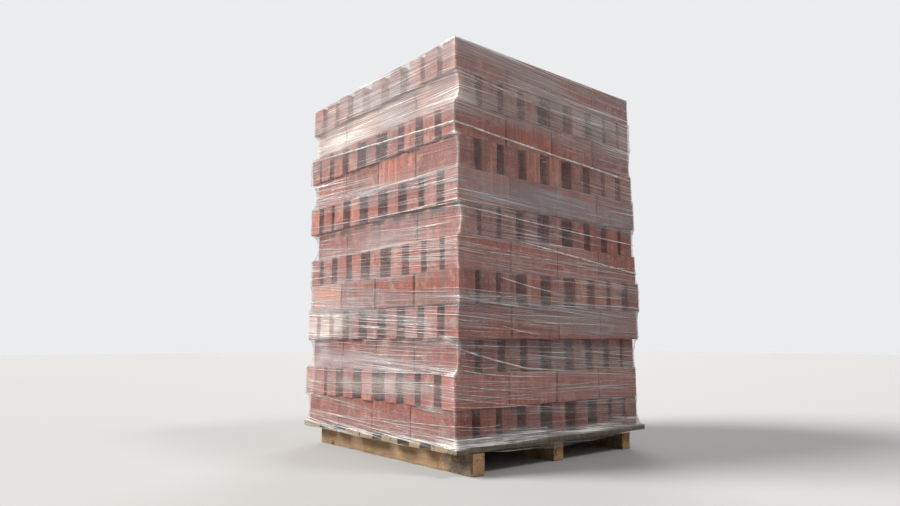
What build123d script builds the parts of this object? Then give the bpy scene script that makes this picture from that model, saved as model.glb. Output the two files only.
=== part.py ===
from build123d import *
import math
import os

# A pallet of solid clay bricks, stacked on edge in crossed courses and wound in stretch film.
# Frame: +Z up, the floor at Z = 0, the origin under the middle of the pallet.
# The courses with odd numbers have their bricks along X, the others along Y.

# Bricks, standing on edge, and the usual joint between two in line
brick_length = 215.0
brick_height = 102.5
brick_thickness = 65.0
end_joint = 3.0
bricks_in_line = 4
rows_in_course = 9

# How the courses were laid, from the bottom up: what each adds to the usual end joint,
# how much wider its rows are spread than a line of bricks is long, how far it was set off
# along X and along Y, and how strongly its gaps follow the pattern below, with a minus
# where the pattern is turned round
course_joint_slacks = (0.0, 0.0, 0.0, 0.0, 5.0, 0.0, 1.0, 0.0, 1.0, 1.0, 2.0, 0.0)
course_spreads = (0.0, 33.0, -19.0, 39.0, 9.0, 29.0, -23.0, 41.0, -7.0, 31.0, -13.0, 27.0)
course_shifts_x = (-2.0, -12.0, 0.0, -1.0, 16.0, 3.0, 10.0, -3.0, 9.0, -11.0, 5.0, -8.0)
course_shifts_y = (-1.5, -8.0, 0.0, -4.0, -5.0, -6.0, 2.0, -5.0, -2.0, -7.0, 3.0, -4.0)
course_patterns = (-0.8, 1.0, -0.6, 0.45, 0.7, -0.7, 0.9, 0.6, -0.5, 0.8, -0.9, -0.6)

# The gaps between the rows of a course, as shares of their mean: close together near the
# end where a row was lined up with the pallet, and wider in the middle
row_gap_shares = (0.35, 0.5, 1.2, 1.6, 1.8, 1.0, 0.75, 0.8)

# Rows are pushed in or out a little against their neighbours
row_stagger = 2.5

# Pallet: thin deck boards along Y, of odd widths, nailed over three bearers along X.
# The deck reaches a little past a line of bricks on every side
deck_overhang_x = 21.0
deck_overhang_y = 15.5
board_thickness = 19.0
board_widths = (124.0, 72.0, 95.0, 78.0, 93.0, 58.0, 121.0)
board_gap_shares = (0.12, 0.27, 0.015, 0.19, 0.225, 0.18)
bearer_width = 47.0
bearer_height = 64.0
bearer_inset = 57.0
bearer_shortfall = 29.0
bearer_shifts = {"front": 18.0, "middle": -6.0, "back": -10.0}

# Stretch film, drawn tight over the courses that stand out and bridging the others
film_thickness = 1.0
film_clearance = 0.4
film_dip_share = 0.85
film_corner = 0.6
film_corner_share = 0.3
film_steps_per_course = 5
top_fold = 160.0

courses = len(course_spreads)
line_length = bricks_in_line * brick_length + (bricks_in_line - 1) * end_joint
deck_depth = line_length + 2 * deck_overhang_y
deck_width = line_length + 2 * deck_overhang_x
deck_top = bearer_height + board_thickness
bearer_length = deck_width - bearer_shortfall


def block(low, high, name):
    """A square-edged solid between two opposite corners."""
    size = [b - a for a, b in zip(low, high)]
    middle = [(a + b) / 2 for a, b in zip(low, high)]
    solid = Pos(*middle) * Box(*size)
    solid.label = name
    return solid


def bearers():
    """The front, middle and back bearers, on the floor."""
    reach = deck_depth / 2 - bearer_inset - bearer_width / 2
    made = {}
    for place, y in (("front", -reach), ("middle", 0.0), ("back", reach)):
        x = bearer_shifts[place]
        name = f"bearer_{place}"
        made[name] = block(
            (x - bearer_length / 2, y - bearer_width / 2, 0),
            (x + bearer_length / 2, y + bearer_width / 2, bearer_height),
            name,
        )
    return made


def deck_boards():
    """The deck boards, side by side along X on top of the bearers."""
    made = {}
    free = deck_width - sum(board_widths)
    gaps = [free * share / sum(board_gap_shares) for share in board_gap_shares]
    x = -deck_width / 2
    for number, width in enumerate(board_widths, 1):
        name = f"deck_board_{number}"
        made[name] = block(
            (x, -deck_depth / 2, bearer_height),
            (x + width, deck_depth / 2, deck_top),
            name,
        )
        x += width + sum(gaps[number - 1 : number])
    return made


def row_places(course):
    """The middle of each row, across a course that is counted from 0 at the bottom."""
    across = line_length + course_spreads[course]
    mean_gap = (across - rows_in_course * brick_thickness) / (rows_in_course - 1)
    pattern = course_patterns[course]
    shares = row_gap_shares if pattern > 0 else row_gap_shares[::-1]
    place = (brick_thickness - across) / 2
    places = [place]
    for share in shares:
        place += brick_thickness + mean_gap * (1 + abs(pattern) * (share - 1))
        places.append(place)
    return places


def line_places(course, row):
    """The middle of each brick along one row."""
    pitch = brick_length + end_joint + course_joint_slacks[course]
    push = row_stagger * math.sin(2.4 * row + 1.7 * course)
    first = push - pitch * (bricks_in_line - 1) / 2
    return [first + number * pitch for number in range(bricks_in_line)]


def brick_boxes(course):
    """The low and high corner of each brick in a course."""
    base = deck_top + course * brick_height
    along_x = course % 2 == 0
    half_x, half_y = brick_length / 2, brick_thickness / 2
    if not along_x:
        half_x, half_y = half_y, half_x
    boxes = []
    for row, across in enumerate(row_places(course)):
        for along in line_places(course, row):
            x, y = (along, across) if along_x else (across, along)
            x, y = x + course_shifts_x[course], y + course_shifts_y[course]
            low = (x - half_x, y - half_y, base)
            high = (x + half_x, y + half_y, base + brick_height)
            boxes.append((low, high))
    return boxes


def brick_course(course):
    """One course of separate bricks."""
    name = f"brick_course_{course + 1:02d}"
    bricks = [block(low, high, "brick") for low, high in brick_boxes(course)]
    return name, Compound(label=name, children=bricks)


def reach_of(boxes):
    """How far a course reaches on its left, right, front and back, all counted outwards."""
    return (
        -min(low[0] for low, _ in boxes),
        max(high[0] for _, high in boxes),
        -min(low[1] for low, _ in boxes),
        max(high[1] for _, high in boxes),
    )


def film_levels():
    """Height, reach on the four sides and corner cut of the film's inner face, bottom to top.

    Between two layers the film passes over the one that stands out further. Beside a layer
    that is set back it dips inwards in a shallow curve, and there its corners are rounder.
    """
    deck = (deck_width / 2, deck_width / 2, deck_depth / 2, deck_depth / 2)
    reaches = [deck] + [reach_of(brick_boxes(course)) for course in range(courses)]
    reaches.append(reaches[-1])
    joints = [tuple(map(max, below, above)) for below, above in zip(reaches, reaches[1:])]
    levels = [(bearer_height, deck, film_corner), (deck_top, joints[0], film_corner)]
    for course in range(1, len(reaches) - 1):
        base = deck_top + (course - 1) * brick_height
        for step in range(1, film_steps_per_course + 1):
            share = step / film_steps_per_course
            curve = math.sqrt(max(0.0, math.sin(math.pi * share)))
            sides, dips = [], []
            for lower, upper, brick in zip(joints[course - 1], joints[course], reaches[course]):
                chord = lower + (upper - lower) * share
                dip = film_dip_share * (chord - brick) * curve
                sides.append(chord - dip)
                dips.append(dip)
            corner = film_corner + film_corner_share * min(dips)
            levels.append((base + share * brick_height, tuple(sides), corner))
    return levels


def film_outline(height, sides, corner, outwards):
    """The film's level outline: a rectangle with its four corners cut off."""
    left, right, front, back = (side + film_clearance + outwards for side in sides)
    points = [
        (-left + corner, -front),
        (right - corner, -front),
        (right, -front + corner),
        (right, back - corner),
        (right - corner, back),
        (-left + corner, back),
        (-left, back - corner),
        (-left, -front + corner),
    ]
    return Wire.make_polygon([(x, y, height) for x, y in points], close=True)


def film_body(levels, outwards):
    """The solid inside one face of the film, ruled from level to level."""
    outlines = [film_outline(height, sides, corner, outwards) for height, sides, corner in levels]
    return Solid.make_loft(outlines, ruled=True)


def stretch_film():
    """The film: open below, folded over the top rim and open in the middle of the top."""
    levels = film_levels()
    height, sides, corner = levels[-1]
    outer = film_body(
        levels + [(height + film_clearance + film_thickness, sides, corner)], film_thickness
    )
    inner = film_body(levels + [(height + film_clearance, sides, corner)], 0)
    left, right, front, back = (side - top_fold for side in sides)
    window = block(
        (-left, -front, height - brick_height / 2), (right, back, height + brick_height / 2), "window"
    )
    film = outer - inner - window
    film.label = "stretch_film"
    return film


def all_parts():
    parts = bearers() | deck_boards()
    parts |= dict(brick_course(course) for course in range(courses))
    parts["stretch_film"] = stretch_film()
    return parts


os.makedirs("parts", exist_ok=True)
for name, part in all_parts().items():
    export_step(part, f"parts/{name}.step")
    size = part.bounding_box().size
    print(f"{name}: {len(part.solids())} solids, {size.X:.1f} x {size.Y:.1f} x {size.Z:.1f} mm")
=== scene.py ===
# %% [markdown]
# # A pallet of bricks in stretch film
# The real object is four hundred and thirty-two fired clay bricks that stand on edge in crossed
# courses, a light pallet of sawn boards, and a clear film wound tightly round both. The solids of
# the frame give every piece its size and place. This notebook gives each piece its look.

# %% Load the frame
import math

import bmesh
import bpy
import numpy as np
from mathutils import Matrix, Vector, noise


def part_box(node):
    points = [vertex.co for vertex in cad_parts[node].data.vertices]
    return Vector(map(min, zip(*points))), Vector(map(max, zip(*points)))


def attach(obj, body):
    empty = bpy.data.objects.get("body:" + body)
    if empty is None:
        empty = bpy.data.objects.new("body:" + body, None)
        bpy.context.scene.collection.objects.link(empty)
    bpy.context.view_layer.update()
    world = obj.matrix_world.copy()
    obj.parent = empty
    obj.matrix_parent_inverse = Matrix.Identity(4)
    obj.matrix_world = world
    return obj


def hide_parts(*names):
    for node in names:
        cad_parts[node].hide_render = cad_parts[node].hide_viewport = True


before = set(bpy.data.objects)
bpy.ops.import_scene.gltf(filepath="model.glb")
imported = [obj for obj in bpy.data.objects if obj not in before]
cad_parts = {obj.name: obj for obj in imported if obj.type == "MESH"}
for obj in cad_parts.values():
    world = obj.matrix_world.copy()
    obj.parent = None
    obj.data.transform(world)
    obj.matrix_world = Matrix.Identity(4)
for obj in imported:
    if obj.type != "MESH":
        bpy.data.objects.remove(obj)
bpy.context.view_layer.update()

courses = sorted(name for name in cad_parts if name.startswith("brick_course"))
boards = sorted(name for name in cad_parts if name.startswith("deck_board"))
bearers = sorted(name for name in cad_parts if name.startswith("bearer"))
print(len(courses), "courses,", len(boards), "boards,", len(bearers), "bearers")

# %% [markdown]
# ## Camera
# The station was worked out from the corners of the courses in the photograph: about two metres
# from the near corner, a little above the pallet. A lens with a wide view takes in the whole
# stack from there, so the camera keeps the station and only looks further up.

# %% Camera
STATION = Vector((1.918, -1.682, 0.383))
AZIMUTH = 50.45
PITCH = 7.6
LENS_MM = 26.5
SENSOR_MM = 36.0


def placed(name, data):
    """An object with that data, put into the scene."""
    thing = bpy.data.objects.new(name, data)
    bpy.context.scene.collection.objects.link(thing)
    return thing


def facing(azimuth, pitch):
    """The turn of a camera or light that looks along an azimuth, from +Y towards -X, and up."""
    turn, lift = math.radians(azimuth), math.radians(pitch)
    level = math.cos(lift)
    ahead = Vector((-math.sin(turn) * level, math.cos(turn) * level, math.sin(lift)))
    return ahead.to_track_quat("-Z", "Y").to_euler()


def set_camera():
    """Puts the camera at the station, turned to the stack."""
    data = bpy.data.cameras.new("camera")
    data.lens = LENS_MM
    data.sensor_width = SENSOR_MM
    camera = placed("camera", data)
    camera.location = STATION
    camera.rotation_euler = facing(AZIMUTH, PITCH)
    bpy.context.scene.camera = camera
    return camera


camera = set_camera()
print("the camera stands at", tuple(round(v, 3) for v in camera.location))

# %% [markdown]
# ## One way to write node trees
# Materials and Geometry Nodes are both trees of nodes. `Tree.node` adds any node: its settings are
# set first, then the values or links of its sockets. `Link` wraps a socket so that arithmetic on it
# adds the Math nodes, and a pattern reads like a formula.

# %% Node helper


class Link:
    """An output socket that can be used in arithmetic."""

    def __init__(self, tree, socket):
        self.tree = tree
        self.socket = socket

    def math(self, operation, *others, clamp=False):
        settings = {"operation": operation, "use_clamp": clamp}
        return self.tree.node("ShaderNodeMath", settings, dict(enumerate((self, *others))))

    def __add__(self, other):
        return self.math("ADD", other)

    def __sub__(self, other):
        return self.math("SUBTRACT", other)

    def __mul__(self, other):
        return self.math("MULTIPLY", other)

    def __truediv__(self, other):
        return self.math("DIVIDE", other)

    def __pow__(self, other):
        return self.math("POWER", other)

    def __rsub__(self, other):
        return self.tree.node("ShaderNodeMath", {"operation": "SUBTRACT"}, {0: other, 1: self})

    __radd__ = __add__
    __rmul__ = __mul__

    def between(self, low, high):
        """0 below low, 1 above high, and a straight rise between them."""
        values = {"Value": self, "From Min": low, "From Max": high}
        return self.tree.node("ShaderNodeMapRange", {"clamp": True}, values)

    def clamped(self):
        return self.math("ADD", 0.0, clamp=True)


class Tree:
    """A node tree under construction."""

    def __init__(self, tree):
        self.tree = tree
        tree.nodes.clear()

    def node(self, kind, settings=None, values=None, out=0):
        node = self.tree.nodes.new(kind)
        for key, value in (settings or {}).items():
            if key == "stops":
                self.set_stops(node.color_ramp.elements, value)
            else:
                setattr(node, key, value)
        for key, value in (values or {}).items():
            if isinstance(value, Link):
                self.tree.links.new(value.socket, node.inputs[key])
            else:
                node.inputs[key].default_value = value
        return Link(self, node.outputs[out]) if len(node.outputs) else node

    @staticmethod
    def set_stops(row, stops):
        """Gives a colour ramp its places and colours."""
        while len(row) < len(stops):
            row.new(1.0)
        for stop, (place, colour) in zip(row, stops):
            stop.position = place
            stop.color = (*colour, 1.0)

    def outputs(self, kind, values=None):
        """Every output of a new node, under its name."""
        made = self.node(kind, values=values).socket.node
        return {socket.name: Link(self, socket) for socket in made.outputs if socket.name}

    def apart(self, vector):
        """The three parts of a vector."""
        return list(self.outputs("ShaderNodeSeparateXYZ", {"Vector": vector}).values())


class Finish(Tree):
    """A material made of nodes, with the patterns that several finishes share."""

    def __init__(self, name):
        self.material = bpy.data.materials.new(name)
        self.material.use_nodes = True
        super().__init__(self.material.node_tree)

    def place(self):
        return self.node("ShaderNodeTexCoord", out="Object")

    def attribute(self, name, out="Fac"):
        return self.node("ShaderNodeAttribute", {"attribute_name": name}, out=out)

    def stretched(self, vector, scale):
        values = {"Vector": vector, "Scale": scale}
        return self.node("ShaderNodeMapping", {"vector_type": "POINT"}, values)

    def grain(self, vector, scale=1.0, detail=4.0, roughness=0.55, distortion=0.0):
        values = {"Vector": vector, "Scale": scale, "Detail": detail, "Roughness": roughness}
        return self.node("ShaderNodeTexNoise", values=values | {"Distortion": distortion})

    def dots(self, vector, scale):
        """How far off the nearest of many scattered dots is."""
        return self.node("ShaderNodeTexVoronoi", values={"Vector": vector, "Scale": scale})

    def mixed(self, factor, one, other):
        """A colour from one to the other."""
        one, other = (c if isinstance(c, Link) else (*c, 1.0) for c in (one, other))
        settings = {"data_type": "RGBA", "clamp_factor": True}
        return self.node("ShaderNodeMix", settings, {0: factor, 6: one, 7: other}, out=2)

    def coated(self, colour, *coats):
        """A colour under coats, each with how much it covers and its own colour."""
        for cover, coat in coats:
            colour = self.mixed(cover, colour, coat)
        return colour

    def bump(self, height, strength, distance):
        values = {"Height": height, "Strength": strength, "Distance": distance}
        return self.node("ShaderNodeBump", values=values)

    def surface(self, **values):
        values = {key.replace("_", " "): value for key, value in values.items()}
        shader = self.node("ShaderNodeBsdfPrincipled", values=values)
        self.node("ShaderNodeOutputMaterial", values={"Surface": shader})
        return self.material


def srgb(*seen):
    """A colour as it is seen, from 0 to 255, as the light values that shaders use."""
    return tuple(((c / 255 + 0.055) / 1.055) ** 2.4 for c in seen)

# %% [markdown]
# ## Fired clay
# The clay was wire-cut, so its large faces carry drag marks across the brick. Each brick left the
# kiln with its own shade, from salmon to dark red, and with paler and darker blotches. The brick's
# own attributes shift the patterns, so that no two bricks show the same one. Its tone also carries
# painted shade on the set-back courses and a painted highlight towards the left end.

# %% Brick finish
CLAY_DARK = srgb(112, 48, 38)
CLAY_BROWN = srgb(122, 76, 62)
CLAY_RED = srgb(158, 80, 62)
CLAY_ORANGE = srgb(192, 108, 82)
CLAY_PALE = srgb(218, 152, 124)
CLAY_DUST = srgb(222, 180, 154)
CLAY_GRIT = srgb(226, 170, 140)
CLAY_CINDER = srgb(84, 38, 33)
CLAY_HOLE = srgb(70, 34, 28)


def fired_clay():
    clay = Finish("fired_clay")
    own = clay.attribute("brick_own", out="Vector")
    # The brick's tone also carries painted shade on the set-back courses and a painted highlight
    # towards the left end.
    tone = clay.attribute("brick_tone")
    marked = clay.attribute("brick_marked")
    place = clay.node("ShaderNodeVectorMath", {"operation": "ADD"}, {0: clay.place(), 1: own})
    blotch = clay.grain(place, 9.0, 5.0, 0.65, distortion=0.8).between(0.28, 0.72)
    mottle = clay.grain(place, 55.0, 5.0, 0.75).between(0.3, 0.7)
    drag = clay.grain(clay.stretched(place, (110, 110, 4)), roughness=0.65)
    smear = clay.grain(clay.stretched(place, (42, 42, 3)), detail=3.0, roughness=0.6)
    speck = clay.grain(place, 300.0, 3.0, 0.7)
    bloom = clay.grain(place, 17.0, 6.0, 0.75)
    hole = clay.dots(place, 52.0).between(0.10, 0.04) * mottle.between(0.35, 0.15)
    darker = marked * (1.2 - tone * 0.6).clamped()
    shade = clay.node(
        "ShaderNodeValToRGB",
        {"stops": ((0.0, CLAY_DARK), (0.4, CLAY_RED), (0.75, CLAY_ORANGE), (1.0, CLAY_PALE))},
        {"Fac": tone * 0.42 + blotch * 0.34 + mottle * 0.3},
    )
    colour = clay.coated(
        shade,
        (drag.between(0.50, 0.62) * (0.12 + darker * 0.6), CLAY_DARK),
        (smear.between(0.52, 0.60) * (0.05 + darker * 0.6), CLAY_BROWN),
        (smear.between(0.45, 0.37) * marked * (0.1 + tone * 0.8), CLAY_PALE),
        (bloom.between(0.52, 0.70) * 0.6, CLAY_DUST),
        (speck.between(0.54, 0.72) * 0.5, CLAY_GRIT),
        (speck.between(0.44, 0.3) * 0.6, CLAY_CINDER),
        (hole * 0.8, CLAY_HOLE),
    )
    height = drag * 0.5 + speck * 0.5 + mottle * 0.15 - hole * 0.8
    return clay.surface(
        Base_Color=colour,
        Roughness=0.93 - blotch * 0.06,
        Normal=clay.bump(height, 0.7, 0.0022),
    )


clay_finish = fired_clay()
print("the clay is made of", len(clay_finish.node_tree.nodes), "nodes")

# %% [markdown]
# ## Bricks
# All the bricks of a course are one shape that repeats, so Geometry Nodes lays them. The frame says
# where: each loose part of a course's solid is one brick, and its middle becomes a point. Six
# slightly different bricks, with broken arrises and chipped corners, are picked at random and
# turned end for end, and every brick gets its own shade, with painted shade on the set-back courses
# and a painted highlight towards the left end added to it.

# %% Brick shapes
BRICK = Vector((0.215, 0.065, 0.1025))
BRICK_KINDS = 6
ARRIS = 0.0022
KNOCK = 0.0012
CHIP = 0.009
FLAT_AREA = 0.004


def soft_box(size, middle, edge, profile):
    """A box with rounded edges."""
    shape = bmesh.new()
    bmesh.ops.create_cube(shape, size=1.0)
    for vertex in shape.verts:
        vertex.co = Vector(m + v * s for m, v, s in zip(middle, vertex.co, size))
    edges = shape.edges[:]
    bmesh.ops.bevel(shape, geom=edges, offset=edge, segments=2, profile=profile, affect="EDGES")
    return shape


def mesh_of(shape, name):
    mesh = bpy.data.meshes.new(name)
    shape.to_mesh(mesh)
    shape.free()
    return mesh


def chipped_brick(seed):
    """One brick round the origin, its length along X, standing on edge."""
    shape = soft_box(BRICK, (0, 0, 0), ARRIS, 0.55)
    for face in shape.faces:
        face.smooth = face.calc_area() <= FLAT_AREA
    shift = Vector((seed * 7.3, seed * 3.1, seed * 5.7))
    for vertex in shape.verts:
        knock = abs(noise.noise(vertex.co * 31 + shift)) * KNOCK
        nick = max(0.0, noise.noise(vertex.co * 11 + shift * 2) - 0.18) * CHIP
        vertex.co -= vertex.co.normalized() * (knock + nick)
    mesh = mesh_of(shape, f"brick_kind_{seed}")
    return bpy.data.objects.new(mesh.name, mesh)


kinds = bpy.data.collections.new("brick_kinds")
for kind_seed in range(BRICK_KINDS):
    kinds.objects.link(chipped_brick(kind_seed))

# %% Brick places
WELD = 1e-5


def loose_middles(name):
    """The middle of every loose part of a node's mesh."""
    shape = bmesh.new()
    shape.from_mesh(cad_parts[name].data)
    bmesh.ops.remove_doubles(shape, verts=shape.verts[:], dist=WELD)
    seen, middles = set(), []
    for start in shape.verts:
        if start in seen:
            continue
        part, fresh = {start}, {start}
        while fresh:
            fresh = {edge.other_vert(v) for v in fresh for edge in v.link_edges} - part
            part |= fresh
        seen |= part
        low = Vector(min(v.co[i] for v in part) for i in range(3))
        high = Vector(max(v.co[i] for v in part) for i in range(3))
        middles.append((low + high) / 2)
    shape.free()
    return middles


def runs_along_x(name):
    """True if the bricks of a course lie along X: every other course, from the bottom one."""
    return courses.index(name) % 2 == 0


def points_mesh(points):
    mesh = bpy.data.meshes.new("places")
    mesh.from_pydata([tuple(point) for point in points], [], [])
    return mesh


# %% Geometry Nodes helper


class Maker(Tree):
    """Geometry Nodes under construction. Their inputs are in `put`, under their names."""

    def __init__(self, name, **sockets):
        super().__init__(bpy.data.node_groups.new(name, "GeometryNodeTree"))
        self.add_socket("Geometry", "INPUT", "Geometry")
        for key, kind in sockets.items():
            self.add_socket(key, "INPUT", kind)
        self.add_socket("Geometry", "OUTPUT", "Geometry")
        self.put = self.outputs("NodeGroupInput")

    def add_socket(self, name, end, kind):
        self.tree.interface.new_socket(name, in_out=end, socket_type=f"NodeSocket{kind}")

    def dressed(self, geometry, material):
        """Ends the tree with the geometry made real, in that material."""
        real = self.node("GeometryNodeRealizeInstances", values={"Geometry": geometry})
        values = {"Geometry": real, "Material": material}
        last = self.node("GeometryNodeSetMaterial", values=values)
        self.node("NodeGroupOutput", values={0: last})
        return self.tree


def run_tree(name, start, group, **inputs):
    """Runs a tree on a starting mesh and returns the result as a plain mesh object."""
    worker = placed(f"{name}_worker", start)
    modifier = worker.modifiers.new("tree", "NODES")
    modifier.node_group = group
    sockets = group.interface.items_tree
    identifiers = {item.name: item.identifier for item in sockets if item.in_out == "INPUT"}
    for key, value in inputs.items():
        modifier[identifiers[key]] = value
    result = worker.evaluated_get(bpy.context.evaluated_depsgraph_get())
    made = bpy.data.meshes.new_from_object(result)
    made.name = name
    bpy.data.objects.remove(worker)
    return placed(name, made)


# %% Course builder


def course_tree(material):
    """Geometry Nodes that put a brick on every point."""
    numbers = dict.fromkeys(("Turn", "Slack", "Palest", "PaleEnd", "Marks"), "Float")
    tree = Maker("lay_course", Kinds="Collection", **numbers, Seed="Int")
    put = tree.put

    def chance(kind, low, high, salt):
        """A random number, or three of them, for each point."""
        first, out = {"FLOAT_VECTOR": (0, 0), "FLOAT": (2, 1), "INT": (4, 2)}[kind]
        values = {first: low, first + 1: high, "Seed": put["Seed"] + salt}
        return tree.node("FunctionNodeRandomValue", {"data_type": kind}, values, out)

    choice = {"Collection": put["Kinds"], "Separate Children": True, "Reset Children": True}
    about = chance("INT", 0, 1, 11) * math.pi + put["Turn"]
    about = about + chance("FLOAT", -1.0, 1.0, 5) * put["Slack"]
    turn = {"X": chance("INT", 0, 1, 23) * math.pi, "Z": about}
    laid = tree.node(
        "GeometryNodeInstanceOnPoints",
        values={
            "Points": put["Geometry"],
            "Instance": tree.node("GeometryNodeCollectionInfo", values=choice),
            "Pick Instance": True,
            "Instance Index": chance("INT", 0, BRICK_KINDS - 1, 3),
            "Rotation": tree.node("ShaderNodeCombineXYZ", values=turn),
        },
    )
    # The tone is random, plus a painted highlight that makes bricks paler towards the left end; on
    # the set-back courses it is kept dark as painted shade.
    left_light_mask = (tree.apart(tree.node("GeometryNodeInputPosition"))[0] * -1.0).math("MAXIMUM", 0.0)
    tone = chance("FLOAT", 0.0, 1.0, 7) * put["Palest"] + left_light_mask * put["PaleEnd"]
    for name, kind, value in (
        ("brick_tone", "FLOAT", tone),
        ("brick_own", "FLOAT_VECTOR", chance("FLOAT_VECTOR", (0, 0, 0), (9, 9, 9), 13)),
        ("brick_marked", "FLOAT", chance("FLOAT", 0.35, 1.0, 19) * put["Marks"]),
    ):
        settings = {"data_type": kind, "domain": "INSTANCE"}
        values = {"Geometry": laid, "Name": name, "Value": value}
        laid = tree.node("GeometryNodeStoreNamedAttribute", settings, values)
    return tree.dressed(laid, material)


# %% Lay the courses
BRICK_SLACK = 0.0015
FIRST_SEED, SEED_STEP = 40, 17
# For each course, from the bottom: how pale its palest bricks are, kept low on the set-back first
# and third courses as painted shade; how much paler they get towards the left end, a painted
# highlight;
# and how strongly they are marked
COURSE_TONE_AND_SHADE = (0.05, 1.1, 0.0, 1.0, 1.3, 0.9, 0.5, 1.1, 0.9, 0.7, 1.05, 0.9)
PAINTED_LEFT_LIGHT = (0.0, 0.3, 0.0, 0.6, 2.0, 0.0, 0.4, 0.0, 0.8, 0.0, 0.5, 0.0)
MARKS = (1.0, 0.5, 0.9, 0.6, 1.7, 0.6, 1.0, 0.7, 1.2, 0.8, 1.0, 0.9)

places = {course: loose_middles(course) for course in courses}
lay_course = course_tree(clay_finish)
for number, course in enumerate(courses):
    piece = run_tree(
        f"bricks_{number + 1:02d}",
        points_mesh(places[course]),
        lay_course,
        Kinds=kinds,
        Turn=0.0 if runs_along_x(course) else math.pi / 2,
        Slack=BRICK_SLACK,
        Palest=COURSE_TONE_AND_SHADE[number],
        PaleEnd=PAINTED_LEFT_LIGHT[number],
        Marks=MARKS[number],
        Seed=FIRST_SEED + number * SEED_STEP,
    )
    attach(piece, "root")
    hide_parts(course)
print("each course has", len(piece.data.polygons), "faces")

# %% [markdown]
# ## Sawn wood
# The pallet is rough: deck boards of odd widths and three bearers, sawn from pine, with soft edges,
# slightly hollow faces and worn corners. A box from the frame is cut across many times, and its
# points are drawn in by a little noise, so the timber stays inside its solid.

# %% Sawn timber
WORN_EDGE = 0.0018
WORN_DEPTH = 0.006
SAW_WAVE = 0.00264


def cut_across(shape, axis, low, high, count):
    """Adds cuts square to an axis, so that long faces can bend."""
    normal = Vector((0, 0, 0))
    normal[axis] = 1.0
    for step in range(1, count):
        point = normal * (low + (high - low) * step / count)
        geometry = shape.verts[:] + shape.edges[:] + shape.faces[:]
        bmesh.ops.bisect_plane(shape, geom=geometry, plane_co=point, plane_no=normal)


def store(mesh, name, values):
    """Stores one number for each point of a mesh."""
    layer = mesh.attributes.new(name, "FLOAT", "POINT")
    layer.data.foreach_set("value", np.asarray(values, np.float32).ravel())


def sawn_timber(node, cuts, seed):
    """A piece of sawn wood in the place of a node, worn inwards from its box."""
    low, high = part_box(node)
    middle, size = (low + high) / 2, high - low
    shape = soft_box(size, middle, WORN_EDGE, 0.5)
    for axis in range(3):
        cut_across(shape, axis, low[axis], high[axis], cuts[axis])
    shift = Vector((seed * 3.7, seed * 1.9, seed * 2.3))
    for vertex in shape.verts:
        wavy = Vector((vertex.co[0] * 9, vertex.co[1] * 9, vertex.co[2] * 26))
        for i in range(3):
            away = vertex.co[i] - middle[i]
            outer = max(0.0, 1.0 - (size[i] / 2 - abs(away)) / WORN_DEPTH)
            wear = outer * abs(noise.noise(wavy + shift * (i + 1))) * SAW_WAVE
            vertex.co[i] -= wear if away > 0 else -wear
    for face in shape.faces:
        face.smooth = True
    bmesh.ops.recalc_face_normals(shape, faces=shape.faces[:])
    mesh = mesh_of(shape, f"sawn_{node}")
    for name, spread in (("wood_tone", 0.377), ("wood_pith", 0.613)):
        store(mesh, name, [seed * spread % 1.0] * len(mesh.vertices))
    return placed(mesh.name, mesh)

# %% [markdown]
# ## Pine
# Growth rings are shells round the heart of the tree, so one pattern of rings in space gives long
# grain on the faces and arcs on the sawn ends. The heart lies outside each piece, a little askew.
# The bearers are mouldy at their near end. The boards' long sawn edges are darkened, partly by
# grime and partly as painted shade where they face the next board or lie in shadow.

# %% Wood finishes
KNOT_BROWN = srgb(82, 48, 30)
CRACK_BROWN = srgb(58, 40, 28)
GRIME_AND_SHADE = srgb(66, 60, 48)
MOULD = (srgb(64, 62, 54), srgb(120, 112, 98))
# Fresh, aged, dark and grey wood
BEARER_SHADES = (srgb(228, 186, 134), srgb(200, 158, 116), srgb(138, 102, 72), srgb(154, 138, 114))
BOARD_SHADES = (srgb(196, 174, 130), srgb(168, 140, 112), srgb(112, 88, 68), srgb(128, 122, 108))


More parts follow.
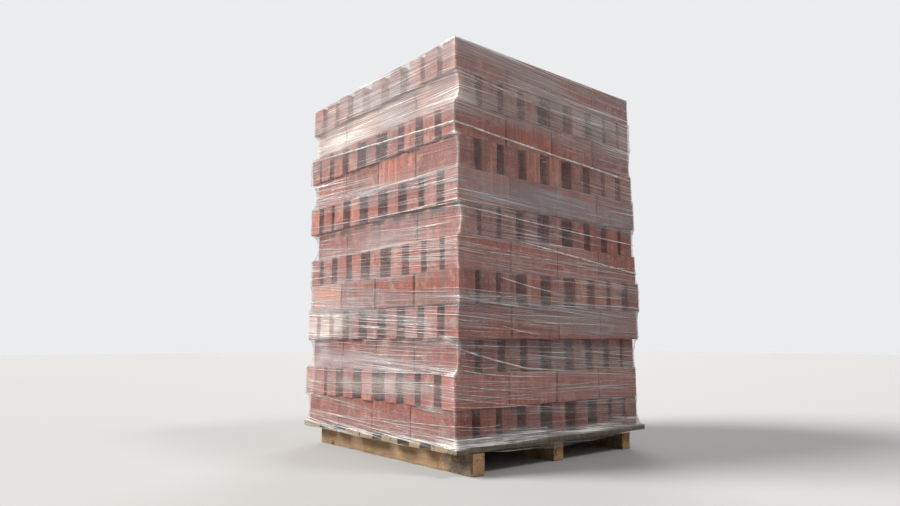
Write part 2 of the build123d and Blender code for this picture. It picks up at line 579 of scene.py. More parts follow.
def sawn_pine(name, along, ring_pitch, shades, drip, moss=0.0, grime_and_shade=0.0):
    """Pine whose grain runs along the axis with that number."""
    fresh, aged, dark, grey = shades
    wood = Finish(name)
    place = wood.place()
    tone = wood.attribute("wood_tone")
    axes = wood.apart(place)
    wander = wood.grain(place, 2.1, 2.0)
    ripple = wood.grain(place, 14.0, 3.0)
    across = axes[1 - along] + wood.attribute("wood_pith") * 0.31 - 0.12
    across = across + wander * 0.022 + axes[along] * 0.02
    up = axes[2] + 0.055 + wander * 0.014
    radius = (across * across + up * up) ** 0.5 + ripple * 0.0022
    late = (radius * (1 / ring_pitch)).math("FRACT") ** 2.5
    fine = [420.0, 420.0, 420.0]
    fine[along] = 16.0
    fibre = wood.grain(wood.stretched(place, fine), detail=3.0, roughness=0.65)
    run = wood.grain(wood.stretched(place, (drip, drip, 5.0)), roughness=0.65)
    stain = wood.grain(place, 23.0, 5.0, 0.7)
    rough = wood.grain(place, 140.0, 4.0, 0.75)
    crack = (ripple - 0.52).math("ABSOLUTE").between(0.014, 0.004)
    sawn_end = wood.coated(
        fresh,
        (stain.between(0.35, 0.65), aged),
        (late * 0.75 + rough * 0.3, dark),
        (crack * 0.8, CRACK_BROWN),
    )
    normal = wood.apart(wood.node("ShaderNodeNewGeometry", out="Normal"))
    faced = [part.math("ABSOLUTE").between(0.6, 0.8) for part in normal[:2]]
    damp = (axes[0] + stain * 0.6).between(0.58, 0.72) * run.between(0.3, 0.45)
    colour = wood.coated(
        fresh,
        ((stain + tone * 0.7 - 0.3).between(0.25, 0.8), aged),
        (late * 0.5, dark),
        (fibre.between(0.48, 0.7) * 0.5, dark),
        (run.between(0.46, 0.66) * 0.55, dark),
        ((stain + tone * 0.4).between(0.62, 0.9) * 0.7, grey),
        (wood.dots(place, 11.0).between(0.16, 0.07) * 0.85, KNOT_BROWN),
        (rough.between(0.52, 0.68) * 0.45, dark),
        (damp * moss, wood.mixed(rough.between(0.42, 0.62), *MOULD)),
        # Long sawn edges darker: partly grime, partly painted shade where they face the next board
        # or lie in shadow.
        (faced[1 - along] * grime_and_shade * (0.5 + run * 0.6), GRIME_AND_SHADE),
        (faced[along], sawn_end),
    )
    height = fibre * 0.8 + late * -0.3 + stain * 0.3
    return wood.surface(
        Base_Color=colour,
        Roughness=0.94 - fibre * 0.12,
        Normal=wood.bump(height, 0.6, 0.0016),
    )


bearer_finish = sawn_pine("bearer_pine", 0, 0.0045, BEARER_SHADES, 24.0, moss=0.85)
board_finish = sawn_pine("board_pine", 1, 0.0035, BOARD_SHADES, 60.0, grime_and_shade=0.9)
print("the pine is made of", len(board_finish.node_tree.nodes), "nodes")

# %% Bearers and boards
for timbers, cuts, first_seed, finish, slot in (
    (bearers, (44, 3, 4), 1, bearer_finish, "bearer_wood"),
    (boards, (6, 44, 2), 11, board_finish, "board_wood"),
):
    for number, timber in enumerate(timbers):
        piece = sawn_timber(timber, cuts, first_seed + number)
        piece.data.materials.append(finish)
        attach(piece, "root")
        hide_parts(timber)
print("a board has", len(piece.data.polygons), "faces")

# %% [markdown]
# ## Nails
# Two nails hold every board to every bearer, forty-two in all, driven just below the wood. Geometry
# Nodes set one nail, a head on a shank, on every point where a board crosses a bearer.

# %% Nails
NAIL = {"Head": 0.008, "Shank": 0.0034, "Length": 0.065}
HEAD_THICKNESS = 0.0012
NAIL_SPREAD = 0.28
NAIL_STAGGER = 0.008
NAIL_SINK = 0.0008


def nail_places():
    """Two nail tops on each crossing, at a share of the board's width from its middle."""
    tops = []
    for board in boards:
        low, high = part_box(board)
        for bearer in bearers:
            first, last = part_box(bearer)
            for sign in (-1, 1):
                x = (low[0] + high[0]) / 2 + sign * NAIL_SPREAD * (high[0] - low[0])
                y = (first[1] + last[1]) / 2 + sign * NAIL_STAGGER
                tops.append((x, y, high[2] - NAIL_SINK))
    return tops


def nail_tree(material):
    """Geometry Nodes that drive a nail down from every point."""
    tree = Maker("drive_nails", **dict.fromkeys(NAIL, "Float"))
    put = tree.put

    def rod(sides, width, length):
        values = {"Vertices": sides, "Radius": width / 2, "Depth": length}
        return tree.node("GeometryNodeMeshCylinder", values=values)

    nail = tree.node("GeometryNodeJoinGeometry", values={0: rod(12, put["Head"], HEAD_THICKNESS)})
    drop = tree.node("ShaderNodeCombineXYZ", values={"Z": put["Length"] * -0.5})
    shank = {"Geometry": rod(8, put["Shank"], put["Length"]), "Translation": drop}
    lowered = tree.node("GeometryNodeTransform", values=shank)
    tree.tree.links.new(lowered.socket, nail.socket.node.inputs[0])
    values = {"Points": put["Geometry"], "Instance": nail}
    return tree.dressed(tree.node("GeometryNodeInstanceOnPoints", values=values), material)


def nail_steel():
    steel = Finish("nail_steel")
    spots = steel.grain(steel.place(), 900.0, 3.0)
    rusty = steel.mixed(spots.between(0.4, 0.65), srgb(104, 100, 96), srgb(112, 66, 42))
    return steel.surface(Base_Color=rusty, Metallic=0.7, Roughness=0.45 + spots * 0.4)


nails = run_tree("deck_nails", points_mesh(nail_places()), nail_tree(nail_steel()), **NAIL)
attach(nails, "root")
print(len(nail_places()), "nails")

# %% [markdown]
# ## Where the film runs
# The film is wound round the stack under tension. It lies on the courses that stand out and bridges
# the others, dipping a little between. So its shape follows from the courses: between two layers it
# passes over the one that reaches further, and beside a layer that is set back it dips in a shallow
# curve. Places on it are given by two numbers in metres: `around`, along the perimeter from the
# back left corner by way of the front, and `up`, the height, which goes on inwards over the top.

# %% Reach of the layers
SIDE = 0.9
ROUND = 4 * SIDE
DIP_SHARE = 0.85


def layer_reach(names):
    """How far a layer reaches on the left, front, right and back."""
    lows, highs = zip(*(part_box(name) for name in names))
    low = [min(corner[i] for corner in lows) for i in range(2)]
    high = [max(corner[i] for corner in highs) for i in range(2)]
    return -low[0], -low[1], high[0], high[1]


reaches = np.array([layer_reach(boards)] + [layer_reach([course]) for course in courses])
joints = np.vstack([np.maximum(reaches[:-1], reaches[1:]), reaches[-1:]])
deck_foot, deck_top = (corner[2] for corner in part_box(boards[0]))
stack_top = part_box(courses[-1])[1][2]
course_rise = (stack_top - deck_top) / len(courses)
print("the film bridges", round(float((joints[1:] - reaches[1:]).max()) * 1000, 1), "mm at most")


def film_sides(up):
    """The film's reach on the four sides at a height, and how far it dips there."""
    level = np.clip((up - deck_top) / course_rise, -0.2, len(courses) - 1e-6)
    course = np.maximum(np.floor(level).astype(int), 0)
    share = np.clip(level - course, 0.0, 1.0)[..., None]
    lower, upper = joints[course], joints[course + 1]
    chord = lower + (upper - lower) * share
    brick = np.where((level < 0)[..., None], chord, reaches[course + 1])
    sharp = np.where(course == 0, 0.33, 0.5)[..., None]
    dip = DIP_SHARE * (chord - brick) * np.sin(np.pi * share).clip(0, 1) ** sharp
    return chord - dip, dip

# %% Air behind the film
OPEN_AIR = 0.03
OUTER_ROW = 0.03


def air_behind(side, points, up, reach):
    """How far the next brick is behind each place, or OPEN_AIR beside a gap between bricks."""
    air = np.where(up < deck_top, 0.0, OPEN_AIR)
    level = np.clip(((up - deck_top) / course_rise).astype(int), 0, len(courses) - 1)
    for number, course in enumerate(courses):
        half = (BRICK / 2).xy if runs_along_x(course) else (BRICK / 2).yx
        middles = np.array(places[course])[:, :2]
        for face in range(4):
            out, along = face % 2, 1 - face % 2
            here = (level == number) & (side == face) & (up >= deck_top)
            faces = (1 if face > 1 else -1) * middles[:, out] + half[out]
            for brick in np.flatnonzero(faces > faces.max() - OUTER_ROW):
                covered = np.abs(points[..., along] - middles[brick, along]) < half[along]
                air = np.where(here & covered, np.minimum(air, reach - faces[brick]), air)
    return np.maximum(air, 0.0)

# %% Places on the film
CORNER = 0.006
CORNER_RADIUS = 0.003
RADIUS_BY_DIP = 0.3
RIM = 0.006
FILM_GAP = 0.0009
TANGENTS = np.array(((0, -1), (1, 0), (0, 1), (-1, 0)), float)
NORMALS = np.array(((-1, 0), (0, -1), (1, 0), (0, 1)), float)
CORNER_SIGNS = np.array(((-1, -1), (1, -1), (1, 1), (-1, 1)), float)


def on_film(around, up, lift=0.0):
    """Points on the film, with the air behind each; lift moves them off the film."""
    around, up = np.broadcast_arrays(np.asarray(around, float) % ROUND, np.asarray(up, float))
    side = np.minimum((around / SIDE).astype(int), 3)
    place = around - side * SIDE
    over = np.maximum(up - stack_top, 0.0)
    below = np.minimum(up, stack_top)
    sides, dips = film_sides(below)
    sides = sides + FILM_GAP - over[..., None]
    radius = (CORNER_RADIUS + RADIUS_BY_DIP * dips.min(-1))[..., None]
    start_arc, end_arc = place < CORNER, place > SIDE - CORNER
    corner = np.where(start_arc, (side - 1) % 4, side)
    into_arc = np.where(start_arc, place + CORNER, place - (SIDE - CORNER)) / CORNER
    angle = np.clip(0.5 * into_arc, 0, 1) * np.pi / 2

    def corner_point(index):
        x = np.where(CORNER_SIGNS[index, 0] < 0, -sides[..., 0], sides[..., 2])
        y = np.where(CORNER_SIGNS[index, 1] < 0, -sides[..., 1], sides[..., 3])
        return np.stack([x, y], -1)

    first = corner_point((side - 1) % 4) + TANGENTS[side] * radius
    last = corner_point(side) - TANGENTS[side] * radius
    share = np.clip((place - CORNER) / (SIDE - 2 * CORNER), 0, 1)[..., None]
    flat = first + (last - first) * share
    one, two = NORMALS[corner], NORMALS[(corner + 1) % 4]
    turn = np.cos(angle)[..., None] * one + np.sin(angle)[..., None] * two
    arc = corner_point(corner) - radius * (one + two) + radius * turn
    on_arc = (start_arc | end_arc)[..., None]
    level = np.where(on_arc, arc, flat)
    outwards = np.where(on_arc, turn, NORMALS[side])
    tilt = np.clip(over / RIM, 0, 1)[..., None] * np.pi / 2
    normal = np.concatenate([outwards * np.cos(tilt), np.sin(tilt)], -1)
    height = below[..., None] + FILM_GAP * np.sin(tilt)
    points = np.concatenate([level, height], -1) + normal * np.asarray(lift)[..., None]
    reach = np.take_along_axis(sides, side[..., None], -1)[..., 0]
    return points, air_behind(side, points, below, reach)

# %% Soft noise


def soft_noise(x, y, seed):
    """Smooth noise from -1 to 1 for whole arrays of places."""
    table = np.random.default_rng(seed).uniform(-1, 1, (256, 256))
    column, row = np.floor(x).astype(int), np.floor(y).astype(int)
    across, along = x - column, y - row
    across, along = across ** 2 * (3 - 2 * across), along ** 2 * (3 - 2 * along)
    corners = [[table[(column + i) % 256, (row + j) % 256] for j in (0, 1)] for i in (0, 1)]
    low = corners[0][0] * (1 - across) + corners[1][0] * across
    high = corners[0][1] * (1 - across) + corners[1][1] * across
    return low * (1 - along) + high * along

# %% [markdown]
# ## Film finish
# Clear film is nearly unseen where it lies on the brick. What shows is the haze of its layers, fine
# white lines where tension has gathered it, and shine. So its Alpha carries a thin haze and many
# stretched lines, and the gathers get almost solid. The patterns run along the film's own UV map,
# which is measured in metres round the stack.

# %% Film finish
FILM_DULL = srgb(190, 194, 200)
FILM_BRIGHT = srgb(252, 246, 238)
DENSEST = 0.93
# The folds at the deck's edge are pulled straight; above these heights they are crumpled
CRUMPLED_FROM = (deck_top + 0.03, deck_top + 0.045)


def stretch_film_finish():
    film = Finish("stretch_film")
    around, up, _ = film.apart(film.node("ShaderNodeUVMap", {"uv_map": "wound"}))
    haze_sheen = film.attribute("film_haze")
    gather = film.attribute("film_gather")
    opening = film.attribute("film_open")

    def lines(along, across, slope, seed, detail=2.0):
        """Noise drawn out into long lines that climb by slope."""
        values = {"X": around * along, "Y": (up + around * slope) * across, "Z": seed}
        place = film.node("ShaderNodeCombineXYZ", values=values)
        return film.grain(place, detail=detail, roughness=0.5)

    cloud = lines(3.2, 11.0, 0.2, 3.1, 5.0)
    patch = lines(1.8, 9.0, 0.05, 8.4, 3.0)
    hair = lines(3.4, 760.0, 0.035, 2.9).between(0.58, 0.67)
    fine = lines(2.2, 400.0, 0.05, 1.7).between(0.58, 0.67)
    comb = lines(1.7, 185.0, 0.045, 4.9, 3.0).between(0.46, 0.66)
    level = lines(1.5, 230.0, 0.005, 5.2).between(0.615, 0.68)
    sinking = lines(1.2, 210.0, 0.075, 6.6).between(0.62, 0.69)
    broad = lines(0.9, 34.0, 0.04, 9.3, 3.0).between(0.42, 0.72)
    dash = lines(24.0, 240.0, 0.0, 4.4).between(0.60, 0.72) * opening * patch.between(0.52, 0.36)
    crossing = lines(40.0, 60.0, 0.6, 5.9, 3.0).between(0.25, 0.60)
    crumpled = lines(11.0, 170.0, 0.25, 7.7, 3.0).between(0.40, 0.60) * crossing
    pulled = lines(3.6, 240.0, 0.02, 8.1, 3.0).between(0.44, 0.60)
    crinkle = pulled + (crumpled - pulled) * up.between(*CRUMPLED_FROM)
    busy = patch.between(0.38, 0.62)
    # The haze attribute also carries a patch of painted sheen on the left end of the front, which
    # turns the film whiter there.
    veil_and_sheen = haze_sheen.between(0.0, 1.0)
    haze = 0.08 + cloud.between(0.3, 0.75) * (0.05 + veil_and_sheen * 0.36) + veil_and_sheen * 0.19
    haze = haze + broad * (0.05 + busy * 0.12)
    thread = hair * (0.06 + busy * 0.2) + fine * (0.09 + busy * 0.3) + comb * (0.03 + busy * 0.14)
    thread = thread + level * (0.12 + busy * 0.45) + sinking * busy * 0.45 + dash * 0.4
    crease = gather.between(0.55, 1.0) * crinkle
    drawn = gather * (0.10 + comb * 0.4 + fine * 0.4 + crease * 0.75)
    shown = (1 - opening * 0.38) * (1 - haze_sheen.between(0.0, -1.0) * 0.7)
    bright = (thread + drawn).clamped()
    height = fine * 0.3 + level * 0.7 + sinking * 0.7 + comb * 0.3 + broad * 0.7
    height = height + cloud * 0.8 + gather * crinkle * 1.5
    return film.surface(
        Base_Color=film.mixed(bright + haze_sheen.between(0.45, 1.0) * 0.8, FILM_DULL, FILM_BRIGHT),
        Roughness=0.34 - bright * 0.08,
        Metallic=bright * 0.55,
        Alpha=((haze + thread) * shown + drawn).math("MINIMUM", DENSEST),
        Normal=film.bump(height, 0.8, 0.0018),
    )


film_finish = stretch_film_finish()
print("the film is made of", len(film_finish.node_tree.nodes), "nodes")

# %% [markdown]
# ## Wound bands
# One roll of film went round the stack in three overlapping bands, from the foot up, and was folded
# over the top rim. Each band is a fine grid laid on the places above, with ridges along the pull,
# slack where it bridges air, a gathered edge, and folds where it is drawn over the deck's edge.
# Some places are bunched up white, and some are hazy or very clear, as in the photograph. The
# haziest patch, on the left end of the front, is painted sheen standing in for the sky's
# reflection.

# %% Bunches, hazes and folds
# How far round, how high, half their width and height, how strong; a minus makes a haze clear
BUNCHES = (
    (1.785, 0.289, 0.03, 0.007, 1.0), (1.795, 0.086, 0.04, 0.009, 1.0),
    (1.75, 0.384, 0.045, 0.012, 1.0), (1.69, 0.184, 0.085, 0.009, 0.9),
    (0.985, 0.18, 0.05, 0.008, 1.0), (1.797, 0.5, 0.012, 0.01, 0.8),
    (2.01, 0.492, 0.05, 0.006, 0.5), (2.69, 0.39, 0.03, 0.008, 0.9),
    (0.905, 0.288, 0.02, 0.008, 0.8), (0.9, 0.7, 0.03, 0.008, 0.9),
    (1.8, 0.801, 0.025, 0.009, 0.9), (1.8, 1.006, 0.03, 0.009, 0.7),
    (2.7, 0.903, 0.03, 0.009, 0.9), (0.0, 0.596, 0.03, 0.008, 0.9),
    (1.3, 0.904, 0.06, 0.006, 0.5), (1.35, 0.291, 0.42, 0.008, 0.4),
    (1.73, 0.176, 0.1, 0.008, 0.5), (1.2, 0.7, 0.45, 0.007, 0.5),
    (2.2, 0.598, 0.4, 0.007, 0.5), (1.45, 1.006, 0.3, 0.007, 0.5),
    (2.3, 0.292, 0.35, 0.007, 0.4),
)
# The first spot is painted sheen: a whiter patch that stands in for the sky's reflection on the
# left end of the front.
HAZES_AND_SHEEN = (
    (1.02, 0.45, 0.17, 0.05, 1.6), (1.14, 0.318, 0.26, 0.026, 0.6),
    (0.98, 0.34, 0.06, 0.05, 0.4), (0.99, 0.556, 0.14, 0.042, -0.6),
    (1.83, 0.14, 0.05, 0.035, -0.9), (1.4, 0.24, 0.3, 0.04, 0.9),
    (0.95, 0.235, 0.05, 0.05, 0.5), (1.5, 0.32, 0.25, 0.03, 0.15),
    (2.1, 0.112, 0.16, 0.016, 0.5), (1.6, 0.545, 0.2, 0.04, -0.8),
    (1.45, 0.155, 0.3, 0.03, -0.6), (1.14, 0.372, 0.14, 0.014, -0.8),
    (1.72, 0.45, 0.07, 0.04, -0.5), (1.0, 0.15, 0.1, 0.03, -0.5),
    (1.25, 0.6, 0.2, 0.02, 0.4), (2.02, 0.43, 0.2, 0.045, -1.0),
    (1.93, 0.15, 0.12, 0.02, -0.5), (2.3, 0.34, 0.2, 0.04, 0.4),
    (1.3, 0.73, 0.25, 0.04, 0.5), (2.2, 0.85, 0.3, 0.04, 0.5),
    (0.45, 0.42, 0.3, 0.06, 0.6), (3.1, 0.6, 0.35, 0.08, 0.6),
    (0.3, 0.9, 0.25, 0.06, 0.5), (3.2, 0.25, 0.25, 0.05, 0.5),
    (1.6, 0.84, 0.2, 0.04, -0.7), (1.1, 0.9, 0.15, 0.04, -0.6),
    (2.5, 0.7, 0.2, 0.04, -0.6), (1.15, 1.16, 0.3, 0.045, 0.5),
    (2.1, 1.05, 0.2, 0.04, -0.4),
)
# Stretches where the film is bunched at the deck's top, and where it is drawn tightly down over
# the deck's edge: how far round, half their width, how strong
FOOT_FOLDS = (
    (1.98, 0.24, 1.4), (2.45, 0.22, 0.9), (1.77, 0.05, 0.7),
    (0.93, 0.05, 0.4), (0.3, 0.15, 0.6), (3.2, 0.2, 0.6),
)
EDGE_FOLDS = ((1.1, 0.26, 0.9), (0.15, 0.2, 0.6), (2.95, 0.3, 0.6))


def near(value, target, width):
    return np.exp(-(((value - target) / width) ** 2))


def beside(around, middle, wide):
    """1 at a place on the way round, falling to 0 on both sides of it."""
    return near((around - middle + ROUND / 2) % ROUND, ROUND / 2, wide)


def patches(around, up, spots):
    """The sum of soft oval spots."""
    return sum(
        strength * beside(around, middle, wide) * near(up, height, tall)
        for middle, height, wide, tall, strength in spots
    )


def stretches(around, folds):
    """The sum of soft stretches of the way round."""
    return sum(strength * beside(around, middle, wide) for middle, wide, strength in folds)


def corner_share(around, width):
    """1 at a corner of the stack, falling to 0 away from it."""
    return near(((around / SIDE + 0.5) % 1.0 - 0.5) * SIDE, 0, width)


def rising(value, width):
    """0 up to 0, then a straight rise to 1 over a width."""
    return np.clip(value / width, 0, 1)

# %% Relief, gathers and haze
# Heights in metres. Ridges and creases have one where the film is tight, and what slack adds
RIDGES = (0.0003, 0.0007)
CREASES = (0.0002, 0.0016)
SWELL = 0.0022
SLACK = 0.0012
CRUMPLE = 0.0024
LEAST_GAP = 0.0008
PLEATS = 0.0045
TOP_SWELL = 0.002


def relief(around, up, air, seed):
    """How far the film stands off its plain shape."""
    loose = rising(air, 0.012)
    ridge = 1 - np.abs(soft_noise(around * 2.3, (up + 0.03 * around) * 62, seed)) * 2
    crease = soft_noise((around + up * 1.4) * 13, (up - around * 0.5) * 9, seed + 1)
    crease = 1 - np.abs(crease) * 2
    swell = soft_noise(around * 7, up * 11, seed + 2)
    bump = (RIDGES[0] + RIDGES[1] * loose) * np.clip(ridge, 0, 1)
    bump = bump + (CREASES[0] + CREASES[1] * loose) * np.clip(crease, 0, 1) ** 2
    bump = bump + (SWELL * swell - SLACK) * loose
    bunched = patches(around, up, BUNCHES) + corner_share(around, 0.02) * 0.5
    crumple = np.abs(soft_noise(around * 95, up * 110, seed + 9))
    bump = bump + CRUMPLE * np.clip(bunched, 0, 1) * crumple
    bump = np.maximum(bump, -np.maximum(air - LEAST_GAP, 0.0))
    pleat = np.clip(soft_noise(around * 34, up * 5, seed + 3) + 0.1, 0, 1)
    over = rising(up - stack_top - 0.004, 0.03)
    return bump + over * (PLEATS * pleat + TOP_SWELL * (swell + 1) / 2)


def gathers(around, up, share, seed):
    """Where the film is drawn together: at its edges, over arrises and near the corners."""
    from_edge = (1 - share) * share * 4
    edge = np.exp(-from_edge / 0.016) * (0.25 + 0.4 * soft_noise(around * 3, up * 0, seed + 4))
    level = (up - deck_top) / course_rise
    joint = np.round(level)
    here = np.clip(soft_noise(around * 6, joint * 3.3, seed + 5), 0, 1)
    arris = near((level - joint) * course_rise, 0, 0.005) * here
    here = np.clip(soft_noise(np.round(around / SIDE) * 9.7, up * 24, seed + 6), 0, 1)
    corner = corner_share(around, 0.006) * here
    at_deck_top = np.clip(1.5 - np.abs(up - deck_top - 0.010) / 0.013, 0, 1)
    foot = at_deck_top * (0.12 + stretches(around, FOOT_FOLDS))
    foot = foot + 0.5 * rising(deck_foot + 0.004 - up, 0.004)
    foot = foot + stretches(around, EDGE_FOLDS) * near(up, (deck_top + deck_foot) / 2, 0.010)
    rim = 0.45 * near(up, stack_top + 0.004, 0.012)
    total = edge + 0.4 * arris + patches(around, up, BUNCHES) + 0.5 * corner + foot + rim
    return np.clip(total, 0, 1.2)


def haze_and_sheen(around, up, air):
    """How hazy the film is, from -1, very clear, to 1, with one patch of painted sheen."""
    haze = 0.8 * corner_share(around, 0.012) * rising(air, 0.008) + 0.22 * rising(air, 0.02)
    haze = haze - rising(deck_top - 0.001 - up, 0.003) + 0.5 * rising(up - 1.03, 0.06)
    return np.clip(haze + patches(around, up, HAZES_AND_SHEEN), -1, 1)

# %% Band builder
STEP_AROUND = 0.0066
STEP_UP = 0.0046
HANG_HEIGHT = 0.014
HANG_SHARE = 0.012


def columns_around():
    """Where the columns of a band's grid stand: close together on the corners."""
    flat = np.linspace(CORNER, SIDE - CORNER, int(SIDE / STEP_AROUND))
    arc = np.array([-0.6, -0.2, 0.2, 0.6]) * CORNER + SIDE
    return np.concatenate([np.concatenate([flat, arc]) + SIDE * k for k in range(4)])


def rows_up(around, low, high):
    """Each row's share of the way up a band, and its heights. A row lies on every joint."""
    rows = int((high(0.0) - low(0.0)) / STEP_UP)
    share = np.linspace(0, 1, rows + 1)[None, :]
    width = high(around) - low(around)
    up = low(around) + width * share
    joint = deck_top + np.round((up - deck_top) / course_rise) * course_rise
    nearest = np.abs(up - joint) <= width / rows / 2
    on_stack = (joint > 0) & (joint < stack_top + 0.001)
    return share, np.where(nearest & on_stack, joint, up)


def grid_piece(name, points, around, up):
    """A closed ring of quads with the film's UV map."""

    def quads(grid, after):
        return np.stack([grid[:, :-1], after[:, :-1], after[:, 1:], grid[:, 1:]], -1)

    index = np.arange(up.size).reshape(up.shape)
    faces = quads(index, np.roll(index, -1, 0)).reshape(-1, 4)
    mesh = bpy.data.meshes.new(name)
    mesh.from_pydata(points.reshape(-1, 3).tolist(), [], faces.tolist())
    wound = quads(around, np.concatenate([around[1:], around[:1] + ROUND]))
    high = quads(up, np.roll(up, -1, 0))
    uv = mesh.uv_layers.new(name="wound")
    uv.data.foreach_set("uv", np.stack([wound, high], -1).astype(np.float32).ravel())
    mesh.polygons.foreach_set("use_smooth", [True] * len(faces))
    mesh.materials.append(film_finish)
    return placed(name, mesh)


def wound_band(name, low, high, lift, seed):
    """A band of film between two edges, each a function of the way round."""
    around = columns_around()[:, None]
    share, up = rows_up(around, low, high)
    around = np.broadcast_to(around, up.shape)
    _, air = on_film(around, up)
    air = (air + np.roll(air, 1, 0) + np.roll(air, -1, 0)) / 3
    points, air = on_film(around, up, lift + relief(around, up, air, seed))
    hang = rising(deck_foot + 0.002 - up, HANG_HEIGHT)
    points[..., :2] *= (1 - HANG_SHARE * hang)[..., None]
    piece = grid_piece(name, points, around, up)
    store(piece.data, "film_haze", haze_and_sheen(around, up, air))
    store(piece.data, "film_gather", gathers(around, up, share, seed))
    store(piece.data, "film_open", rising(air - 0.015, 0.01))
    return piece


# %% Wind the bands
TOP_FOLD = 0.16
# How far the lowest edge sags on the left, front, right and back
SAGS = np.array((0.009, 0.004, 0.019, 0.008))


def uneven(around, scale, seed):
    return soft_noise(around * scale, np.zeros_like(around), seed)


def foot_edge(around):
    around = np.asarray(around, float) % ROUND
    sag = np.sin(np.pi * ((around / SIDE) % 1.0)) ** 2
    deep = SAGS[np.minimum((around / SIDE).astype(int), 3)]
    return deck_foot + 0.003 - deep * sag + 0.002 * uneven(around, 9, 70)


def slanted_edge(heights, seed):
    """An edge through given heights at the four corners, from the back left one onwards."""
    knots = np.array(heights)

    def edge(around):
        place = (around % ROUND) / SIDE
        first = np.floor(place).astype(int) % 4
        share = place - np.floor(place)
        share = share * share * (3 - 2 * share) * 0.5 + share * 0.5
        line = knots[first] + (knots[(first + 1) % 4] - knots[first]) * share
        return line + 0.004 * uneven(around, 4, seed)
    return edge


def top_edge(around):
    return stack_top + TOP_FOLD + 0.022 * uneven(around, 5, 75) + 0.008 * uneven(around, 23, 76)


foot_top = slanted_edge((0.565, 0.598, 0.535, 0.505), 71)
middle_foot = slanted_edge((0.5, 0.484, 0.422, 0.398), 72)
middle_top = slanted_edge((0.93, 0.955, 0.9, 0.86), 73)
head_foot = slanted_edge((0.845, 0.872, 0.812, 0.78), 74)
bands = [
    wound_band("film_foot", foot_edge, foot_top, lift=0.0, seed=10),
    wound_band("film_middle", middle_foot, middle_top, lift=0.0005, seed=30),
    wound_band("film_head", head_foot, top_edge, lift=0.001, seed=50),
]
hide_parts("stretch_film")
# How much of the roll's width each band takes up, edge to edge and over the arrises
BAND_WIDTHS = (0.50, 0.47, 0.62)
for band, width in zip(bands, BAND_WIDTHS):
    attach(band, "root")
    print(band.name, "has", len(band.data.polygons), "faces")


# %% [markdown]
# ## Gathered strands
# Where the film necks down under the pull, its edges and creases draw up into pale strands that
# cross the faces almost level. Each one is a path on the film. Geometry Nodes turn the paths into
# flat tubes, thin at both ends, so the same tree serves a hair-thin crease and a rope of film.

# %% Strand paths
# The plain ones in the photograph: round and up at the start, round and up at the end, half width
ROPES = (
    (0.9, 0.277, 1.8, 0.292, 0.0016), (1.62, 0.3, 1.8, 0.29, 0.0012),
    (0.88, 0.228, 1.73, 0.264, 0.001), (0.91, 0.196, 1.7, 0.228, 0.0008),
    (0.92, 0.481, 1.67, 0.43, 0.0011), (0.96, 0.461, 1.78, 0.412, 0.0008),
    (0.9, 0.452, 1.75, 0.414, 0.0008), (1.17, 0.418, 1.6, 0.402, 0.0006),
    (0.92, 0.599, 1.46, 0.552, 0.0008), (0.92, 0.59, 1.39, 0.547, 0.0007),
    (1.34, 0.133, 1.86, 0.144, 0.0009), (0.96, 0.112, 1.66, 0.138, 0.0006),
    (1.28, 0.097, 1.82, 0.109, 0.0008), (1.37, 0.097, 1.76, 0.091, 0.0006),
    (1.3, 0.33, 1.69, 0.326, 0.0006), (1.34, 0.313, 1.81, 0.313, 0.0007),
    (1.25, 0.303, 1.81, 0.306, 0.0007), (1.79, 0.364, 2.12, 0.296, 0.003),
    (1.81, 0.314, 1.96, 0.304, 0.0012), (1.8, 0.302, 2.12, 0.272, 0.0016),
    (1.78, 0.263, 2.1, 0.228, 0.0011), (1.78, 0.238, 2.2, 0.197, 0.0008),
    (1.79, 0.223, 2.3, 0.165, 0.0009), (1.78, 0.198, 2.1, 0.186, 0.0011),
    (1.8, 0.142, 1.98, 0.133, 0.0008), (1.8, 0.133, 2.1, 0.118, 0.0007),
    (1.8, 0.448, 1.89, 0.444, 0.0009), (1.8, 0.416, 2.1, 0.414, 0.0007),
    (1.96, 0.58, 2.24, 0.54, 0.0016), (1.98, 0.43, 2.16, 0.405, 0.0012),
    (1.82, 0.516, 2.12, 0.529, 0.0009), (1.82, 0.509, 1.96, 0.513, 0.0007),
    (1.81, 0.332, 1.94, 0.327, 0.0007), (1.81, 0.09, 2.04, 0.091, 0.002),
    (1.83, 0.097, 2.22, 0.089, 0.0014), (1.86, 0.103, 2.3, 0.094, 0.0011),
    (1.92, 0.11, 2.24, 0.099, 0.0009), (1.99, 0.121, 2.2, 0.112, 0.0007),
    (1.85, 0.085, 2.12, 0.084, 0.0016), (0.85, 1.105, 2.75, 0.985, 0.0034),
    (2.75, 0.985, 4.45, 1.105, 0.003), (2.05, 0.7, 3.2, 0.59, 0.0028),
    (0.05, 0.5, 0.8, 0.486, 0.002), (1.7, 0.79, 2.75, 0.74, 0.0018),
    (0.88, 0.832, 1.82, 0.795, 0.0016),
)
CLUSTERS = 30
STRAND_STEP = 0.008
STRAND_SAG = 0.004
STRAND_LIFT = 0.0012


def strand_paths():
    """Start, end and half width of every strand: the plain ones, then clusters of fine ones."""
    chance = np.random.default_rng(5)
    paths = list(ROPES)
    for _ in range(CLUSTERS):
        start, height = chance.uniform(0, ROUND), chance.uniform(0.10, 1.28)
        length, climb = chance.uniform(0.35, 1.3), chance.normal(-0.035, 0.035)
        for _ in range(chance.integers(2, 6)):
            first = start + chance.normal(0, 0.08)
            low = height + chance.normal(0, 0.013)
            long = length * chance.uniform(0.5, 1.1)
            high = low + long * (climb + chance.normal(0, 0.012))
            paths.append((first, low, first + long, high, chance.uniform(0.00035, 0.0009)))
    return paths


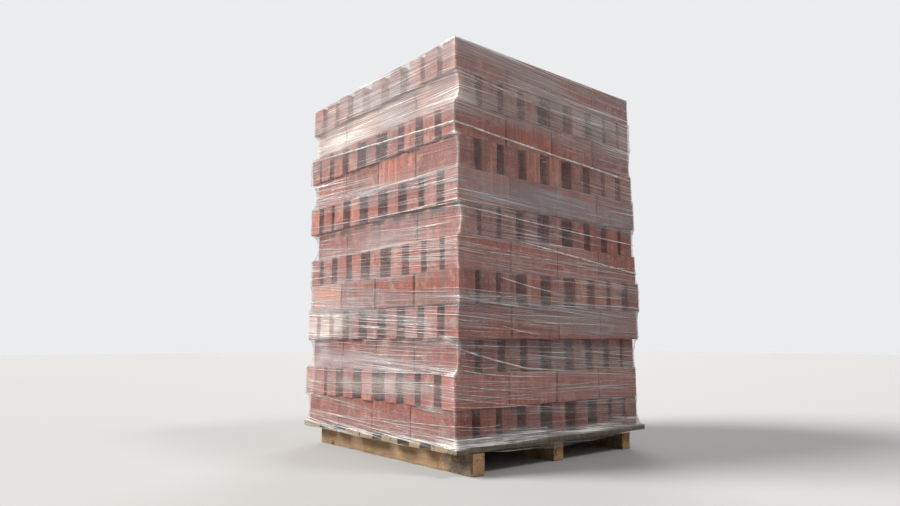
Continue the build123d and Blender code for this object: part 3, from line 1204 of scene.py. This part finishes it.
def strand_mesh(paths):
    """One chain of points for each path, with its half width at each point."""
    points, edges, widths = [], [], []
    for start, low, end, high, width in paths:
        count = max(8, int((end - start) / STRAND_STEP))
        share = np.linspace(0, 1, count)
        middle = np.sin(np.pi * share)
        around = start + (end - start) * share
        up = low + (high - low) * share - STRAND_SAG * middle
        up = np.clip(up, deck_foot, stack_top - 0.003)
        line, _ = on_film(around, up, STRAND_LIFT + width * 0.3)
        edges += [(len(points) + i, len(points) + i + 1) for i in range(count - 1)]
        points += line.tolist()
        varied = 1 + 0.3 * soft_noise(around * 30, share * 0 + low * 90, 91)
        widths += (width * varied * np.clip(middle * 4, 0.15, 1)).tolist()
    mesh = bpy.data.meshes.new("strand_paths")
    mesh.from_pydata(points, edges, [])
    store(mesh, "half_width", widths)
    return mesh


# %% Strand finish and tree


def gathered_film():
    """Film drawn together: white, and almost solid."""
    film = Finish("gathered_film")
    place = film.place()
    run = film.grain(film.stretched(place, (9, 9, 500)), detail=3.0)
    cover = film.grain(film.stretched(place, (22, 22, 60)), roughness=0.7)
    return film.surface(
        Base_Color=film.mixed(run, srgb(206, 200, 194), srgb(252, 250, 248)),
        Roughness=0.3,
        Metallic=0.2 + run * 0.6,
        Alpha=0.12 + cover.between(0.35, 0.62) * 0.72,
        Normal=film.bump(run, 0.8, 0.001),
    )


def strand_tree(material):
    """Geometry Nodes that give every chain of points a flat, tapering tube."""
    tree = Maker("gather_strands", Sides="Int", Flatness="Float")
    put = tree.put
    chain = tree.node("GeometryNodeMeshToCurve", values={"Mesh": put["Geometry"]})
    upright = tree.node("GeometryNodeSetCurveNormal", {"mode": "Z_UP"}, {"Curve": chain})
    circle = {"Resolution": put["Sides"], "Radius": 1.0}
    ring = tree.node("GeometryNodeCurvePrimitiveCircle", values=circle)
    scale = tree.node("ShaderNodeCombineXYZ", values={"X": put["Flatness"], "Y": 1.0, "Z": 1.0})
    flat = tree.node("GeometryNodeTransform", values={"Geometry": ring, "Scale": scale})
    stored = {"Name": "half_width"}
    width = tree.node("GeometryNodeInputNamedAttribute", {"data_type": "FLOAT"}, stored)
    sweep = {"Curve": upright, "Profile Curve": flat, "Scale": width, "Fill Caps": True}
    return tree.dressed(tree.node("GeometryNodeCurveToMesh", values=sweep), material)


# %% Gather the strands
strand_chains = strand_paths()
tubes = strand_tree(gathered_film())
strands = run_tree("film_strands", strand_mesh(strand_chains), tubes, Sides=6, Flatness=0.4)
strands.data.polygons.foreach_set("use_smooth", [True] * len(strands.data.polygons))
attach(strands, "root")
print(len(strand_chains), "strands,", len(strands.data.polygons), "faces")

# %% [markdown]
# ## Floor, light and backdrop
# The floor is one pale sheet, and the world gives a pale backdrop. A large soft light stands on the
# left, so the left face is lit plainly and the right face lies in shade, as in the photograph. The
# rays that light the stack meet a darker floor and a dimmer backdrop than those that the camera
# sees.

# %% Floor
FLOOR = 40.0
FLOOR_PALE = (0.48, 0.48, 0.475)
FLOOR_DULL = (0.34, 0.33, 0.32)


def seen_rays(tree):
    """1 for rays that show the backdrop: straight from the camera, mirrored or through glass."""
    path = tree.outputs("ShaderNodeLightPath")
    rays = path["Is Camera Ray"] + path["Is Glossy Ray"] + path["Is Transmission Ray"]
    return rays.clamped()


def pale_floor():
    paint = Finish("floor_paint")
    colour = paint.mixed(seen_rays(paint), FLOOR_DULL, FLOOR_PALE)
    half = FLOOR / 2
    corners = [(-half, -half, 0), (half, -half, 0), (half, half, 0), (-half, half, 0)]
    mesh = bpy.data.meshes.new("floor")
    mesh.from_pydata(corners, [], [(0, 1, 2, 3)])
    mesh.materials.append(paint.surface(Base_Color=colour, Roughness=0.95))
    return placed("floor", mesh)


floor = pale_floor()

# %% Light
BACKDROP_COLOUR = (0.97, 0.98, 1.0, 1.0)
BACKDROP = 0.86
AMBIENT = 0.20


def soft_sun(name, azimuth, height, strength, spread, colour):
    """A far, soft light from a compass direction, counted from +X towards +Y, in degrees."""
    data = bpy.data.lights.new(name, "SUN")
    data.energy = strength
    data.angle = math.radians(spread)
    data.color = colour
    placed(name, data).rotation_euler = facing(azimuth + 90, -height)


def pale_world():
    world = bpy.data.worlds.new("pale_world")
    world.use_nodes = True
    bpy.context.scene.world = world
    tree = Tree(world.node_tree)
    strength = seen_rays(tree) * (BACKDROP - AMBIENT) + AMBIENT
    values = {"Color": BACKDROP_COLOUR, "Strength": strength}
    back = tree.node("ShaderNodeBackground", values=values)
    tree.node("ShaderNodeOutputWorld", values={"Surface": back})


soft_sun("front_left_light", 236, 38, 4.65, 28, (1.0, 0.975, 0.94))
soft_sun("high_light", 30, 56, 0.9, 16, (1.0, 0.99, 0.98))
soft_sun("back_light", 135, 22, 1.3, 30, (1.0, 0.99, 0.98))
pale_world()
bpy.context.scene.view_settings.view_transform = "Standard"
